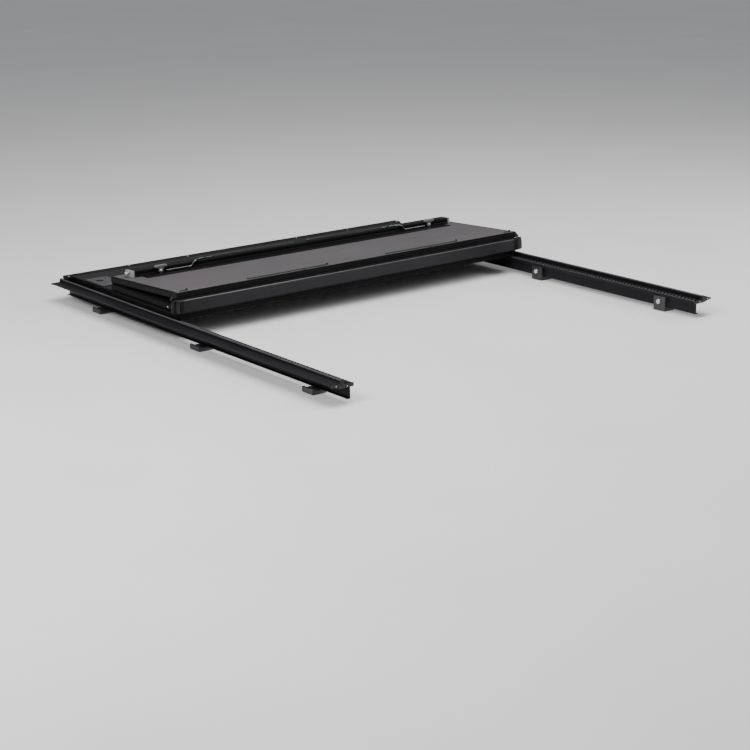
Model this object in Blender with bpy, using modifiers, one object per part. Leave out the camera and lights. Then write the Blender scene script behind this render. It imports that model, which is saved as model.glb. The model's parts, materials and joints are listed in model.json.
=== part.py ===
"""Hard folding tonneau cover on its side rails, with the two rear folds made and the stack lying at the cab end.

Metres, +Z up. +X is the passenger side, +Y points to the cab. The origin is the bottom centre of the whole object:
the underside of the rail clamps, half way along the rails.
Stack from the bottom: panel 2 (top up), panel 4 (top up), panel 3 (underside up), with the spacer standing behind.
"""

import math

import bmesh
import bpy
from mathutils import Matrix, Vector

# Side rails. Heights in the section are measured from the ridge, and u is the distance from the centreline.
RAIL_LENGTH = 1.600
RIDGE_Z = 0.074
RIDGE_U = 0.750
RIDGE_HALF_WALL = 0.002
OUTER_FLANGE_U = 0.789
OUTER_FLANGE_Z = -0.012
LEDGE_Z = -0.020
LIP_U = 0.7115
DROP_FLANGE_U = 0.720
DROP_FLANGE_Z = -0.060
RAIL_WALL = 0.0025
END_CAP_T = 0.004

# Panels.
PANEL_T = 0.022
PANEL_HALF_WIDTH = 0.728
PANEL_TOP_Z = RIDGE_Z + 0.011
FRAME_W = 0.012
BOARD_RECESS = 0.0012
SIDE_SEAL_T = 0.003
TAIL_SEAL_T = 0.008
EDGE_RADIUS = 0.0015

# Hinge lines, as (y, z). Each panel stops HINGE_GAP short of its hinge line.
HINGE_GAP = 0.002
KNUCKLE_RISE = 0.0015
SPACER_SPAN = 0.047
SPACER_T = 0.014
SPACER_CAP_BULGE = 0.027
SPACER_CAP_T = 0.0095
SPACER_CAP_FOOT_R = 0.006
STACK_GAP = 0.002
PANEL_4_CLEARANCE = 0.0045
FOLD_A = (0.078, PANEL_TOP_Z)
FOLD_B = (FOLD_A[0], FOLD_A[1] + SPACER_SPAN)
FOLD_C = (0.4895, PANEL_TOP_Z + STACK_GAP + PANEL_T + KNUCKLE_RISE)
LIFT_D = (FOLD_C[0] + HINGE_GAP, PANEL_TOP_Z + KNUCKLE_RISE)
HINGE_HALF_LENGTH = 0.715
RUBBER_R = 0.0012

# Cab end.
HEADER_Y = 0.7615
HEADER_DEPTH = 0.037
HEADER_HALF_WIDTH = 0.7455
HEADER_LOW_Z = 0.060
FOAM_HEIGHT = 0.026
PLATE_CENTRE = (0.681, 0.620)
PLATE_SIZE = (0.082, 0.120, 0.003)
PLATE_HOLE = (0.693, 0.635, 0.013)

# Latch bar, its base plate, levers and rods on the underside of panel 3, in that panel's own frame.
BAR_Y = 0.328
BAR_DEPTH = 0.045
BAR_HEIGHT = 0.022
BAR_WALL = 0.0022
BAR_HALF_LENGTH = 0.686
BAR_CAP_T = 0.010
BAR_CORNER_R = 0.003
BASE_PLATE_Y = 0.284
BASE_PLATE_T = 0.002
BASE_PLATE_HALF_LENGTH = 0.662
BOLT_SIZE = (0.090, 0.016, 0.006)
BOLT_TIP_X = 0.709
BOLT_RISE = 0.0155
LEVER_X = 0.588
LEVER_T = 0.010
LEVER_PIVOT_RISE = 0.0110
ROD_R = 0.0025
ROD_SETBACK = 0.006
ROD_RISE = 0.008
ROD_OUTER_X = 0.567
ROD_BEND_X = 0.473
ROD_INNER_X = 0.030
STRIP_SIZE = (0.326, 0.008, 0.003)
STRIP_X = 0.2895

# Tail latches in panel 4, and the clamps under the rails.
TAIL_BOLT_R = 0.004
TAIL_BOLT_LENGTH = 0.030
TAIL_BOLT_INSET = 0.045
TAIL_BOLT_TRAVEL = 0.008
CLAMP_STATIONS = (-0.650, -0.060, 0.550)
CLAMP_LENGTH = 0.050
CLAMP_FACE_U = DROP_FLANGE_U - 0.0005
CLAMP_LEG_T = 0.0115
CLAMP_REACH = 0.052
CLAMP_BOLT_Z = -0.042

GAP = 0.0003
SIDES = (("left", -1), ("right", 1))


def clear_scene():
    for old in list(bpy.data.objects):
        bpy.data.objects.remove(old, do_unlink=True)


def new_collection(name):
    collection = bpy.data.collections.new(name)
    bpy.context.scene.collection.children.link(collection)
    return collection


def new_material(name, colour, roughness, metallic):
    material = bpy.data.materials.new(name)
    material.use_nodes = True
    shader = material.node_tree.nodes["Principled BSDF"]
    shader.inputs["Base Color"].default_value = (*colour, 1.0)
    shader.inputs["Roughness"].default_value = roughness
    shader.inputs["Metallic"].default_value = metallic
    return material


def smooth(mesh, degrees=35):
    mesh.shade_smooth()
    mesh.set_sharp_from_angle(angle=math.radians(degrees))


def place(name, mesh, finish, location, parent):
    """Add a mesh object with its own material, at a location in its parent's frame."""
    obj = bpy.data.objects.new(name, mesh)
    cover.objects.link(obj)
    colour, roughness, metallic = FINISHES[finish]
    mesh.materials.append(new_material(name, colour, roughness, metallic))
    obj.location = location
    obj.parent = parent
    return obj


def box_mesh(name, size):
    shape = bmesh.new()
    bmesh.ops.create_cube(shape, size=1.0)
    bmesh.ops.scale(shape, vec=size, verts=shape.verts)
    mesh = bpy.data.meshes.new(name)
    shape.to_mesh(mesh)
    shape.free()
    return mesh


def cylinder_mesh(name, radius, length, axis, segments=16):
    shape = bmesh.new()
    bmesh.ops.create_cone(
        shape, cap_ends=True, segments=segments, radius1=radius, radius2=radius, depth=length
    )
    turn = Vector((0, 0, 1)).rotation_difference(Vector(axis)).to_matrix()
    bmesh.ops.rotate(shape, cent=(0, 0, 0), matrix=turn, verts=shape.verts)
    mesh = bpy.data.meshes.new(name)
    shape.to_mesh(mesh)
    shape.free()
    smooth(mesh)
    return mesh


def curve_to_mesh(curve, frame, close_to=0.00001):
    """Turn a curve into a mesh with welded caps, moved by the matrix frame, with its faces pointing out."""
    guide = bpy.data.objects.new("guide", curve)
    bpy.context.scene.collection.objects.link(guide)
    graph = bpy.context.evaluated_depsgraph_get()
    mesh = bpy.data.meshes.new_from_object(guide.evaluated_get(graph))
    bpy.data.objects.remove(guide, do_unlink=True)
    shape = bmesh.new()
    shape.from_mesh(mesh)
    bmesh.ops.remove_doubles(shape, verts=shape.verts, dist=close_to)
    bmesh.ops.transform(shape, matrix=frame, verts=shape.verts)
    bmesh.ops.recalc_face_normals(shape, faces=shape.faces)
    shape.to_mesh(mesh)
    shape.free()
    smooth(mesh)
    return mesh


def outline_mesh(name, points, thickness, frame):
    """A flat outline in the curve's XY plane, extruded evenly about that plane, then moved by the matrix frame."""
    curve = bpy.data.curves.new(name, "CURVE")
    curve.dimensions = "2D"
    curve.fill_mode = "BOTH"
    curve.extrude = thickness / 2
    spline = curve.splines.new("POLY")
    spline.points.add(len(points) - 1)
    for point, (x, y) in zip(spline.points, points):
        point.co = (x, y, 0, 1)
    spline.use_cyclic_u = True
    return curve_to_mesh(curve, frame)


def wire_mesh(name, points, radius):
    curve = bpy.data.curves.new(name, "CURVE")
    curve.dimensions = "3D"
    curve.bevel_depth = radius
    curve.bevel_resolution = 2
    curve.use_fill_caps = True
    spline = curve.splines.new("POLY")
    spline.points.add(len(points) - 1)
    for point, co in zip(spline.points, points):
        point.co = (*co, 1)
    return curve_to_mesh(curve, Matrix.Identity(4))


def arc(centre, radius, start, end, steps):
    """Points on an arc, from start to end in degrees, counter-clockwise when end is larger."""
    points = []
    for step in range(steps + 1):
        angle = math.radians(start + (end - start) * step / steps)
        points.append((centre[0] + radius * math.cos(angle), centre[1] + radius * math.sin(angle)))
    return points


def bevel(obj, width=EDGE_RADIUS, segments=2):
    modifier = obj.modifiers.new("rounded edges", "BEVEL")
    modifier.width = width
    modifier.segments = segments
    modifier.limit_method = "ANGLE"


def cut(obj, mesh, location, parent, operation="DIFFERENCE"):
    """Add a Boolean whose tool is a hidden cutter at a location in the parent's frame."""
    cutter = bpy.data.objects.new(obj.name + "_tool", mesh)
    cutters.objects.link(cutter)
    cutter.location = location
    cutter.parent = parent
    cutter.hide_render = True
    cutter.display_type = "WIRE"
    modifier = obj.modifiers.new("cut", "BOOLEAN")
    modifier.operation = operation
    modifier.object = cutter
    modifier.solver = "EXACT"


def hinge_frame(name, line, parent=None, tilt=0.0):
    """An empty on a hinge line, which carries everything that turns about it."""
    empty = bpy.data.objects.new(name, None)
    cover.objects.link(empty)
    empty.location = (0, *line)
    empty.rotation_euler = (tilt, 0, 0)
    empty.parent = parent
    empty.empty_display_size = 0.05
    return empty


def section_frame(side, y):
    """Maps an outline in (u, z), measured from the ridge, to the section plane at y on one side."""
    return Matrix(((side, 0, 0, 0), (0, 0, 1, y), (0, 1, 0, RIDGE_Z), (0, 0, 0, 1)))


def rail_outline():
    low_ledge = LEDGE_Z - RAIL_WALL
    inner_wall = RIDGE_U - RIDGE_HALF_WALL
    outer_wall = RIDGE_U + RIDGE_HALF_WALL
    hook_z = DROP_FLANGE_Z + RAIL_WALL
    return [
        (OUTER_FLANGE_U, OUTER_FLANGE_Z - RAIL_WALL),
        (OUTER_FLANGE_U, OUTER_FLANGE_Z),
        (outer_wall, OUTER_FLANGE_Z),
        (outer_wall, 0),
        (inner_wall, 0),
        (inner_wall, LEDGE_Z),
        (LIP_U + 0.002, LEDGE_Z),
        (LIP_U + 0.002, LEDGE_Z + 0.006),
        (LIP_U, LEDGE_Z + 0.006),
        (LIP_U, low_ledge),
        (DROP_FLANGE_U, low_ledge),
        (DROP_FLANGE_U, DROP_FLANGE_Z),
        (DROP_FLANGE_U + 0.011, DROP_FLANGE_Z),
        (DROP_FLANGE_U + 0.011, hook_z),
        (DROP_FLANGE_U + RAIL_WALL, hook_z),
        (DROP_FLANGE_U + RAIL_WALL, low_ledge),
        (outer_wall, low_ledge),
        (outer_wall, OUTER_FLANGE_Z - RAIL_WALL),
    ]


def end_cap_outline():
    return [
        (LIP_U - 0.0015, LEDGE_Z - 0.004),
        (RIDGE_U + 0.004, LEDGE_Z - 0.004),
        (OUTER_FLANGE_U + 0.001, OUTER_FLANGE_Z - 0.005),
        (OUTER_FLANGE_U + 0.001, OUTER_FLANGE_Z + 0.001),
        (RIDGE_U + 0.008, OUTER_FLANGE_Z + 0.001),
        *arc((RIDGE_U, -0.004), 0.0055, 0, 180, 8),
        (RIDGE_U - 0.008, LEDGE_Z + 0.007),
        (LIP_U - 0.0015, LEDGE_Z + 0.007),
    ]


def build_rails():
    bulb_low = LEDGE_Z + GAP
    bulb_top = PANEL_TOP_Z - PANEL_T - RIDGE_Z - GAP
    bulb_r = 0.005
    bulb_u = 0.730
    bulb = [
        (bulb_u + bulb_r, bulb_low),
        *arc((bulb_u, bulb_top - bulb_r), bulb_r, 0, 180, 8),
        (bulb_u - bulb_r, bulb_low),
    ]
    seal_start = -RAIL_LENGTH / 2 + 0.004
    seal_end = HEADER_Y - 0.004
    cap_y = RAIL_LENGTH / 2 + GAP + END_CAP_T / 2
    for word, side in SIDES:
        rail = outline_mesh("side_rail_" + word, rail_outline(), RAIL_LENGTH, section_frame(side, 0))
        place("side_rail_" + word, rail, "rail", (0, 0, 0), None)
        seal_frame = section_frame(side, (seal_start + seal_end) / 2)
        seal = outline_mesh("rail_seal_" + word, bulb, seal_end - seal_start, seal_frame)
        place("rail_seal_" + word, seal, "rubber", (0, 0, 0), None)
        for end, y in (("tail", -cap_y), ("cab", cap_y)):
            name = f"rail_end_cap_{word}_{end}"
            cap = outline_mesh(name, end_cap_outline(), END_CAP_T, section_frame(side, y))
            place(name, cap, "plastic", (0, 0, 0), None)


def clamp_outline():
    """An L-shaped jaw: its leg stands inboard of the rail's drop flange and its toe reaches out under the bed flange."""
    leg_u = CLAMP_FACE_U - CLAMP_LEG_T
    toe_u = leg_u + CLAMP_REACH
    toe_z = DROP_FLANGE_Z - 0.0015
    return [
        (leg_u, -RIDGE_Z),
        (toe_u, -RIDGE_Z),
        (toe_u, toe_z + 0.0055),
        (toe_u - 0.008, toe_z + 0.0055),
        (toe_u - 0.012, toe_z),
        (CLAMP_FACE_U, toe_z),
        (CLAMP_FACE_U, LEDGE_Z - RAIL_WALL - 0.002),
        (leg_u, LEDGE_Z - RAIL_WALL - 0.002),
    ]


def build_clamps():
    shaft_r = 0.004
    head_r = 0.008
    head_t = 0.007
    reach = head_t + 0.0115
    head_u = CLAMP_FACE_U - CLAMP_LEG_T - GAP - head_t
    profile = [(0, reach), (shaft_r, reach), (shaft_r, head_t), (head_r, head_t), (head_r, 0), (0, 0)]
    for word, side in SIDES:
        for number, y in enumerate(CLAMP_STATIONS, start=1):
            name = f"rail_clamp_{word}_{number}"
            jaw = outline_mesh(name, clamp_outline(), CLAMP_LENGTH, section_frame(side, y))
            clamp = place(name, jaw, "cast", (0, 0, 0), None)
            hole = cylinder_mesh(name + "_hole", shaft_r + GAP, 0.030, (1, 0, 0))
            centre = (side * (CLAMP_FACE_U - CLAMP_LEG_T / 2), y, RIDGE_Z + CLAMP_BOLT_Z)
            cut(clamp, hole, centre, None)
            turned = bpy.data.meshes.new("clamp_bolt")
            turned.from_pydata([(r, 0, z) for r, z in profile], [(i, i + 1) for i in range(5)], [])
            bolt = place(f"clamp_bolt_{word}_{number}", turned, "steel", (0, 0, 0), None)
            bolt.location = (side * head_u, y, RIDGE_Z + CLAMP_BOLT_Z)
            bolt.rotation_euler = (0, side * math.pi / 2, 0)
            spin = bolt.modifiers.new("turned", "SCREW")
            spin.steps = 12
            spin.render_steps = 12
            spin.use_merge_vertices = True
            spin.merge_threshold = 0.00001
            spin.use_smooth_shade = False


def build_panel(number, start, end, low, parent):
    """A frame of 12 mm bars round a board, from start to end along y, with its underside or top at low."""
    centre = (0, (start + end) / 2, low + PANEL_T / 2)
    length = end - start
    outer = (2 * PANEL_HALF_WIDTH, length, PANEL_T)
    name = f"panel_{number}_frame"
    frame = place(name, box_mesh(name, outer), "frame", centre, parent)
    window = (outer[0] - 2 * FRAME_W, length - 2 * FRAME_W, PANEL_T * 2)
    cut(frame, box_mesh(name + "_window", window), centre, parent)
    bevel(frame)
    board_size = (window[0] - 2 * GAP, window[1] - 2 * GAP, PANEL_T - 2 * BOARD_RECESS)
    board_name = f"panel_{number}_board"
    board = place(board_name, box_mesh(board_name, board_size), "board", centre, parent)
    bevel(board, EDGE_RADIUS + 0.0005, 2)


def build_side_seals(number, start, end, low, parent):
    for word, side in SIDES:
        x = side * (PANEL_HALF_WIDTH + GAP + SIDE_SEAL_T / 2)
        name = f"panel_{number}_side_seal_{word}"
        size = (SIDE_SEAL_T, end - start, PANEL_T - 0.004)
        seal = place(name, box_mesh(name, size), "rubber", (x, (start + end) / 2, low + PANEL_T / 2), parent)
        bevel(seal, 0.001, 2)


def build_hinge_rubber(name, parent):
    """The flexing core of a rubber hinge strip lies on the hinge line itself."""
    core = cylinder_mesh(name, RUBBER_R, 2 * HINGE_HALF_LENGTH, (1, 0, 0), 12)
    place(name, core, "rubber", (0, 0, 0), parent)


def build_fixed_panel():
    low = PANEL_TOP_Z - PANEL_T
    start = LIFT_D[0] + HINGE_GAP
    build_panel(1, start, HEADER_Y - 0.0015, low, None)
    for word, side in SIDES:
        name = "mounting_plate_" + word
        plate_z = PANEL_TOP_Z + GAP + PLATE_SIZE[2] / 2
        centre = (side * PLATE_CENTRE[0], PLATE_CENTRE[1], plate_z)
        plate = place(name, box_mesh(name, PLATE_SIZE), "frame", centre, None)
        hole = cylinder_mesh(name + "_hole", PLATE_HOLE[2], 0.02, (0, 0, 1), 24)
        cut(plate, hole, (side * PLATE_HOLE[0], PLATE_HOLE[1], plate_z), None)
        bevel(plate, 0.0008, 1)


def build_header():
    low = HEADER_LOW_Z + GAP
    size = (2 * HEADER_HALF_WIDTH, HEADER_DEPTH, PANEL_TOP_Z - low)
    centre_y = HEADER_Y + HEADER_DEPTH / 2
    header = place("header_bar", box_mesh("header_bar", size), "frame", (0, centre_y, low + size[2] / 2), None)
    bevel(header, 0.002, 2)
    foam = (2 * (LIP_U - 0.003), HEADER_DEPTH - 0.008, FOAM_HEIGHT)
    foam_centre = (0, centre_y, low - GAP - foam[2] / 2)
    seal = place("header_seal", box_mesh("header_seal", foam), "foam", foam_centre, None)
    bevel(seal, 0.004, 2)


def spacer_end_outline(height):
    """The spacer's end in (reach, z): widest just above its foot, then curving in towards panel 3's underside."""
    foot = SPACER_CAP_FOOT_R
    half = height / 2
    points = [(0, -half), *arc((SPACER_CAP_BULGE - foot, foot - half), foot, -90, 0, 4)]
    for step in range(1, 9):
        rise = (height - foot) * step / 8
        reach = SPACER_CAP_BULGE * math.sqrt(1 - (rise / (height + PANEL_T)) ** 2)
        points.append((reach, foot + rise - half))
    return [*points, (0, half)]


def build_spacer(parent):
    """The spacer stands on fold A. Its finished side faces the cab while it is folded."""
    height = SPACER_SPAN - 2 * HINGE_GAP
    centre_y = -GAP - SPACER_T / 2
    centre_z = SPACER_SPAN / 2
    size = (2 * PANEL_HALF_WIDTH, SPACER_T, height)
    bar = place("spacer_bar", box_mesh("spacer_bar", size), "textured", (0, centre_y, centre_z), parent)
    bevel(bar, 0.001, 2)
    points = spacer_end_outline(height)
    cap_y = -GAP - SPACER_CAP_T / 2
    for word, side in SIDES:
        start_x = side * (PANEL_HALF_WIDTH + GAP)
        frame = Matrix(((side, 0, 0, start_x), (0, 0, 1, cap_y), (0, 1, 0, centre_z), (0, 0, 0, 1)))
        name = "spacer_end_cap_" + word
        cap = outline_mesh(name, points, SPACER_CAP_T, frame)
        bevel(place(name, cap, "rubber", (0, 0, 0), parent), 0.001, 1)


def bar_outline():
    """A channel, open to the panel, in (y, z) from the bar's near lower corner."""
    inner = BAR_DEPTH - BAR_WALL
    roof = BAR_HEIGHT - BAR_WALL
    return [
        (0, 0),
        *arc((BAR_CORNER_R, BAR_HEIGHT - BAR_CORNER_R), BAR_CORNER_R, 180, 90, 3),
        *arc((BAR_DEPTH - BAR_CORNER_R, BAR_HEIGHT - BAR_CORNER_R), BAR_CORNER_R, 90, 0, 3),
        (BAR_DEPTH, 0),
        (inner, 0),
        (inner, roof),
        (BAR_WALL, roof),
        (BAR_WALL, 0),
    ]


def across_frame(x, y, z):
    """Maps an outline in (y, z) to a plane across x."""
    return Matrix(((0, 0, 1, x), (1, 0, 0, y), (0, 1, 0, z), (0, 0, 0, 1)))


def build_latch_bar(parent):
    base = PANEL_T + GAP
    bar = outline_mesh("latch_bar", bar_outline(), 2 * BAR_HALF_LENGTH, across_frame(0, BAR_Y, base))
    place("latch_bar", bar, "frame", (0, 0, 0), parent)
    plate_depth = BAR_Y - GAP - BASE_PLATE_Y
    plate_size = (2 * BASE_PLATE_HALF_LENGTH, plate_depth, BASE_PLATE_T)
    plate_centre = (0, BASE_PLATE_Y + plate_depth / 2, base + BASE_PLATE_T / 2)
    plate = place("latch_base_plate", box_mesh("latch_base_plate", plate_size), "frame", plate_centre, parent)
    bevel(plate, 0.0006, 1)
    bolt_y = BAR_Y + BAR_DEPTH / 2
    bolt_z = base + BOLT_RISE
    for word, side in SIDES:
        name = "latch_bar_end_" + word
        cap_x = side * (BAR_HALF_LENGTH + GAP + BAR_CAP_T / 2)
        cap_centre = (cap_x, bolt_y, base + BAR_HEIGHT / 2)
        cap_mesh = box_mesh(name, (BAR_CAP_T, BAR_DEPTH, BAR_HEIGHT))
        cap = place(name, cap_mesh, "grey_plastic", cap_centre, parent)
        slot = box_mesh(name + "_slot", (0.05, BOLT_SIZE[1] + 0.0008, BOLT_SIZE[2] + 0.0008))
        cut(cap, slot, (cap_x, bolt_y, bolt_z), parent)
        bevel(cap, 0.0015, 2)
        name = "slide_bolt_" + word
        bolt_x = side * (BOLT_TIP_X - BOLT_SIZE[0] / 2)
        bolt = place(name, box_mesh(name, BOLT_SIZE), "steel", (bolt_x, bolt_y, bolt_z), parent)
        bevel(bolt, 0.0015, 2)


def lever_outline():
    """A thumb lever, in (x, z) from its pivot: a round hub, a stem and a wide pad with rounded ends."""
    hub_r = 0.0085
    pad_half = 0.024
    pad_low = 0.010
    pad_r = 0.0045
    return [
        *arc((0, 0), hub_r, 150, 390, 16),
        (0.008, pad_low),
        *arc((pad_half - pad_r, pad_low + pad_r), pad_r, -90, 90, 6),
        *arc((-pad_half + pad_r, pad_low + pad_r), pad_r, 90, 270, 6),
        (-0.008, pad_low),
    ]


def build_release(parent):
    """The thumb levers in front of the latch bar, and the bent rods that join them to the middle of the bar."""
    base = PANEL_T + GAP
    lever_y = BAR_Y - GAP - 0.0007 - LEVER_T / 2
    near = BAR_Y - ROD_SETBACK
    over_bar = near + 0.016
    low = base + ROD_RISE
    high = base + BAR_HEIGHT + ROD_R + 0.0010
    for word, side in SIDES:
        pivot = (side * LEVER_X, lever_y, base + LEVER_PIVOT_RISE)
        frame = Matrix(((side, 0, 0, 0), (0, 0, 1, 0), (0, 1, 0, 0), (0, 0, 0, 1)))
        name = "thumb_lever_" + word
        lever = outline_mesh(name, lever_outline(), LEVER_T, frame)
        bevel(place(name, lever, "plastic", pivot, parent), 0.0012, 2)
        route = [
            (side * ROD_OUTER_X, near, low),
            (side * ROD_BEND_X, near, low),
            (side * (ROD_BEND_X - 0.006), near, low + 0.002),
            (side * (ROD_BEND_X - 0.020), near, high - 0.002),
            (side * (ROD_BEND_X - 0.025), near + 0.002, high),
            (side * (ROD_BEND_X - 0.038), over_bar - 0.0025, high),
            (side * (ROD_BEND_X - 0.044), over_bar, high),
            (side * ROD_INNER_X, over_bar, high),
        ]
        name = "release_rod_" + word
        place(name, wire_mesh(name, route, ROD_R), "steel", (0, 0, 0), parent)


def build_edge_strips(parent):
    for word, side in SIDES:
        name = "edge_strip_" + word
        centre = (side * STRIP_X, HINGE_GAP + 0.0075, PANEL_T + GAP + STRIP_SIZE[2] / 2)
        strip = place(name, box_mesh(name, STRIP_SIZE), "rubber", centre, parent)
        bevel(strip, 0.001, 1)


def build_tail_latches(start, low, parent):
    """Round bolts that slide out of the sides of panel 4, just ahead of its tail edge."""
    y = start + TAIL_BOLT_INSET
    z = low + PANEL_T / 2
    for word, side in SIDES:
        name = "tail_bolt_" + word
        x = side * (PANEL_HALF_WIDTH + SIDE_SEAL_T + GAP - TAIL_BOLT_LENGTH / 2)
        pin = cylinder_mesh(name, TAIL_BOLT_R, TAIL_BOLT_LENGTH, (1, 0, 0))
        place(name, pin, "steel", (x, y, z), parent)
        for node in ("panel_4_frame", "panel_4_board", "panel_4_side_seal_" + word):
            reach = 2 * (TAIL_BOLT_LENGTH + TAIL_BOLT_TRAVEL)
            hole = cylinder_mesh(node + "_bolt_hole", TAIL_BOLT_R + GAP, reach, (1, 0, 0))
            cut(bpy.data.objects[node], hole, (side * PANEL_HALF_WIDTH, y, z), parent)


def stack_tilt():
    """The length of panel 3 between its hinge lines and how far it slopes down to the cab."""
    run = FOLD_C[0] - FOLD_B[0]
    drop = FOLD_B[1] - FOLD_C[1]
    length = math.sqrt(run * run + drop * drop - KNUCKLE_RISE * KNUCKLE_RISE)
    return length, math.atan2(drop, run) - math.atan2(KNUCKLE_RISE, length)


# Base colour, roughness and metallic value of each finish.
FINISHES = {
    "rail": ((0.030, 0.030, 0.034), 0.38, 0.75),
    "frame": ((0.022, 0.022, 0.025), 0.42, 0.6),
    "textured": ((0.035, 0.030, 0.036), 0.62, 0.1),
    "board": ((0.150, 0.145, 0.145), 0.60, 0.0),
    "rubber": ((0.015, 0.015, 0.016), 0.65, 0.0),
    "foam": ((0.020, 0.020, 0.020), 0.95, 0.0),
    "plastic": ((0.020, 0.020, 0.022), 0.45, 0.0),
    "grey_plastic": ((0.280, 0.280, 0.285), 0.50, 0.0),
    "steel": ((0.720, 0.720, 0.730), 0.25, 1.0),
    "cast": ((0.060, 0.060, 0.065), 0.50, 0.8),
}

clear_scene()
cover = new_collection("tonneau_cover")
cutters = new_collection("cutters")
cutters.hide_render = True

panel_3_length, tilt = stack_tilt()
build_rails()
build_clamps()
build_fixed_panel()
build_header()

lift_hinge = hinge_frame("lift_hinge", LIFT_D)
build_hinge_rubber("hinge_rubber_d", lift_hinge)
panel_2_start = FOLD_A[0] + HINGE_GAP - LIFT_D[0]
panel_2_low = -KNUCKLE_RISE - PANEL_T
build_panel(2, panel_2_start, -HINGE_GAP, panel_2_low, lift_hinge)
build_side_seals(2, panel_2_start, -HINGE_GAP, panel_2_low, lift_hinge)

fold_a = hinge_frame("fold_a_hinge", (FOLD_A[0] - LIFT_D[0], FOLD_A[1] - LIFT_D[1]), lift_hinge)
build_hinge_rubber("hinge_rubber_a", fold_a)
build_spacer(fold_a)

fold_b = hinge_frame("fold_b_hinge", (0, SPACER_SPAN), fold_a, -tilt)
build_hinge_rubber("hinge_rubber_b", fold_b)
panel_3_end = panel_3_length - HINGE_GAP
build_panel(3, HINGE_GAP, panel_3_end, 0, fold_b)
build_side_seals(3, HINGE_GAP, panel_3_end, 0, fold_b)
build_latch_bar(fold_b)
build_release(fold_b)
build_edge_strips(fold_b)

fold_c = hinge_frame("fold_c_hinge", (panel_3_length, -KNUCKLE_RISE), fold_b, tilt)
build_hinge_rubber("hinge_rubber_c", fold_c)
panel_4_start = FOLD_A[0] + PANEL_4_CLEARANCE - FOLD_C[0]
panel_4_low = -KNUCKLE_RISE - PANEL_T
build_panel(4, panel_4_start + TAIL_SEAL_T, -HINGE_GAP, panel_4_low, fold_c)
build_side_seals(4, panel_4_start + TAIL_SEAL_T, -HINGE_GAP, panel_4_low, fold_c)
build_tail_latches(panel_4_start + TAIL_SEAL_T, panel_4_low, fold_c)
tail_size = (2 * PANEL_HALF_WIDTH, TAIL_SEAL_T - GAP, PANEL_T - 0.004)
tail_centre = (0, panel_4_start + (TAIL_SEAL_T - GAP) / 2, panel_4_low + PANEL_T / 2)
tail_seal = place("tail_seal", box_mesh("tail_seal", tail_size), "rubber", tail_centre, fold_c)
bevel(tail_seal, 0.002, 2)
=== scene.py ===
"""The looks of the folded hard tonneau cover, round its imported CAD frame. Metres, +Z up, +Y to the cab."""

import json
import math

import bmesh
import bpy
from mathutils import Matrix, Vector


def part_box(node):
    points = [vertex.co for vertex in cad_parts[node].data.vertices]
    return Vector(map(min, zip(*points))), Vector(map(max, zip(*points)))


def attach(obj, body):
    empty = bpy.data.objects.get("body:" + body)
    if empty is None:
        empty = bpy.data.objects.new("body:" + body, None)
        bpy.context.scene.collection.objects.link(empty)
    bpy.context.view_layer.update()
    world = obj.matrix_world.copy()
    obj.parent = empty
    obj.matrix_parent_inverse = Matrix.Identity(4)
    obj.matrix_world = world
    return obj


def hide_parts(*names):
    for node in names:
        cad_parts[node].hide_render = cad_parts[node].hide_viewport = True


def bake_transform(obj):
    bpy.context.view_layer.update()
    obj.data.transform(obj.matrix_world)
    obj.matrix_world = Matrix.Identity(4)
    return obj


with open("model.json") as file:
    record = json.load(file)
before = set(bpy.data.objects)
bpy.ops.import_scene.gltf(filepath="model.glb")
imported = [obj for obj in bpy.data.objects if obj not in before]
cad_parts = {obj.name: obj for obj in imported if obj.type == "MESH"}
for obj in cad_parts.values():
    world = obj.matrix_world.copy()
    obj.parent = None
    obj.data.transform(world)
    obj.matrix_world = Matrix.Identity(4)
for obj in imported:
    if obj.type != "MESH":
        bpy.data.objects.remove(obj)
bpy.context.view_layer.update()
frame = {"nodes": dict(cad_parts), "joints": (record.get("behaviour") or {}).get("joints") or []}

SIDES = (("left", -1), ("right", 1))
GAP = 0.0003


# ---------------- frames of the moving bodies

def joint(name):
    return next(j for j in frame["joints"] if j["name"] == name)


def axis_of(name):
    return Vector(joint(name)["pos_m"])


def lowest(node):
    return Vector(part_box(node)[0])


def highest(node):
    return Vector(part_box(node)[1])


lever_axis = joint("right_lever")["axis"]
TILT = math.atan2(-lever_axis[2], lever_axis[1])
AT_WORLD = Matrix.Identity(4)
AT_LIFT = Matrix.Translation(axis_of("stack_lift"))
AT_SPACER = Matrix.Translation(axis_of("fold_a_spacer"))
AT_PANEL_3 = Matrix.Translation(axis_of("fold_b_panel_3")) @ Matrix.Rotation(-TILT, 4, "X")
REST_HINGE_C = (lowest("hinge_rubber_c") + highest("hinge_rubber_c")) / 2
AT_PANEL_4 = Matrix.Translation(REST_HINGE_C)

RIDGE_Z = highest("side_rail_right").z
OUTER_U = highest("side_rail_right").x
LIP_U = lowest("side_rail_right").x
RIDGE_U = 0.750
DROP_U = 0.720
HALF_WIDTH = highest("panel_1_frame").x
PANEL_T = highest("panel_1_frame").z - lowest("panel_1_frame").z
PANEL_TOP = highest("panel_1_frame").z
HINGE_GAP = 0.002
KNUCKLE_RISE = 0.0015
FRAME_W = 0.012


# ---------------- mesh tools

def prism(outline, length):
    """A closed outline in (x, y), extruded evenly about z = 0."""
    shape = bmesh.new()
    rings = [[shape.verts.new((x, y, z)) for x, y in outline] for z in (-length / 2, length / 2)]
    count = len(outline)
    for i in range(count):
        k = (i + 1) % count
        shape.faces.new((rings[0][i], rings[0][k], rings[1][k], rings[1][i]))
    shape.faces.new(list(reversed(rings[0])))
    shape.faces.new(rings[1])
    bmesh.ops.recalc_face_normals(shape, faces=shape.faces)
    return shape


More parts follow.
